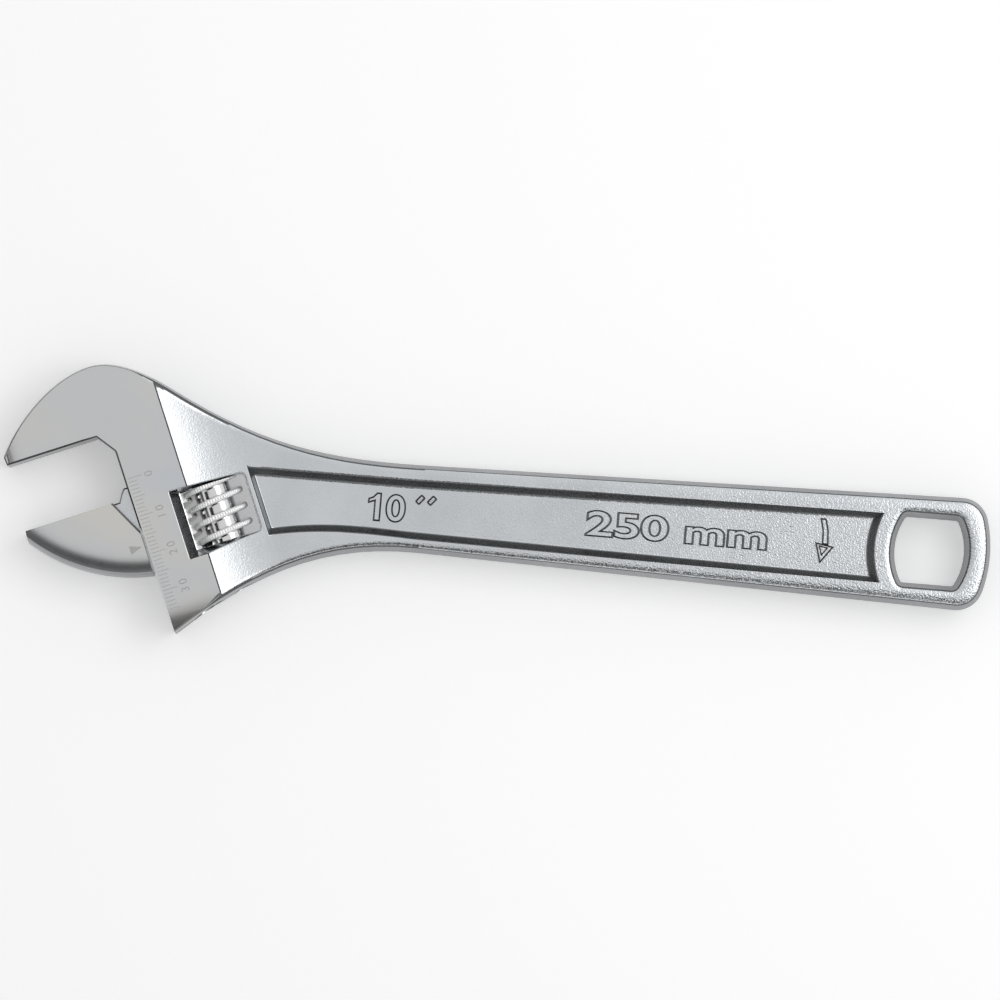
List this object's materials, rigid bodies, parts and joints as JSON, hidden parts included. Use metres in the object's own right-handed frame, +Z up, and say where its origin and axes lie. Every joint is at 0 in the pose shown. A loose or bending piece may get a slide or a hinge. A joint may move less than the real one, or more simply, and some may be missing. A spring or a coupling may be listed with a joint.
{
  "type": "adjustable wrench",
  "caption": "Adjustable wrench with an angled head, a sliding jaw driven by a knurled worm, a recessed handle and a hanging hole.",
  "frame": {"origin": "middle of the outline seen from above, at the underside of the head", "axes": "+X along the handle towards the hanging hole, +Y across the handle towards the fixed jaw, +Z up through the thickness"},
  "size_m": [0.254, 0.067, 0.016],
  "materials": {
    "satin_chrome": "satin forged chrome plate, with ground and polished head faces",
    "polished_chrome": "ground and polished chrome plate",
    "worm_chrome": "bright chrome plate with a knurled crest",
    "pin_steel": "turned steel",
    "spring_steel": "drawn spring wire"
  },
  "bodies": {
    "body": {"forged_body": "satin_chrome", "worm_pin": "pin_steel", "thrust_spring": "spring_steel"},
    "jaw": {"movable_jaw": "polished_chrome"},
    "worm": {"knurled_worm": "worm_chrome"}
  },
  "joints": [
    {"name": "jaw_slide", "type": "slide", "parent": "body", "child": "jaw", "axis": [0.3827, -0.9239, 0], "range_m": [-0.01735, 0.0126]},
    {"name": "worm_spin", "type": "hinge", "parent": "body", "child": "worm", "pos_m": [-0.07082, -0.00189, 0.008], "axis": [-0.3827, 0.9239, 0], "range_deg": [-1488, 1081]}
  ],
  "couplings": [
    {"joint": "worm_spin", "follows": "jaw_slide", "rad_per_m": 1496}
  ]
}
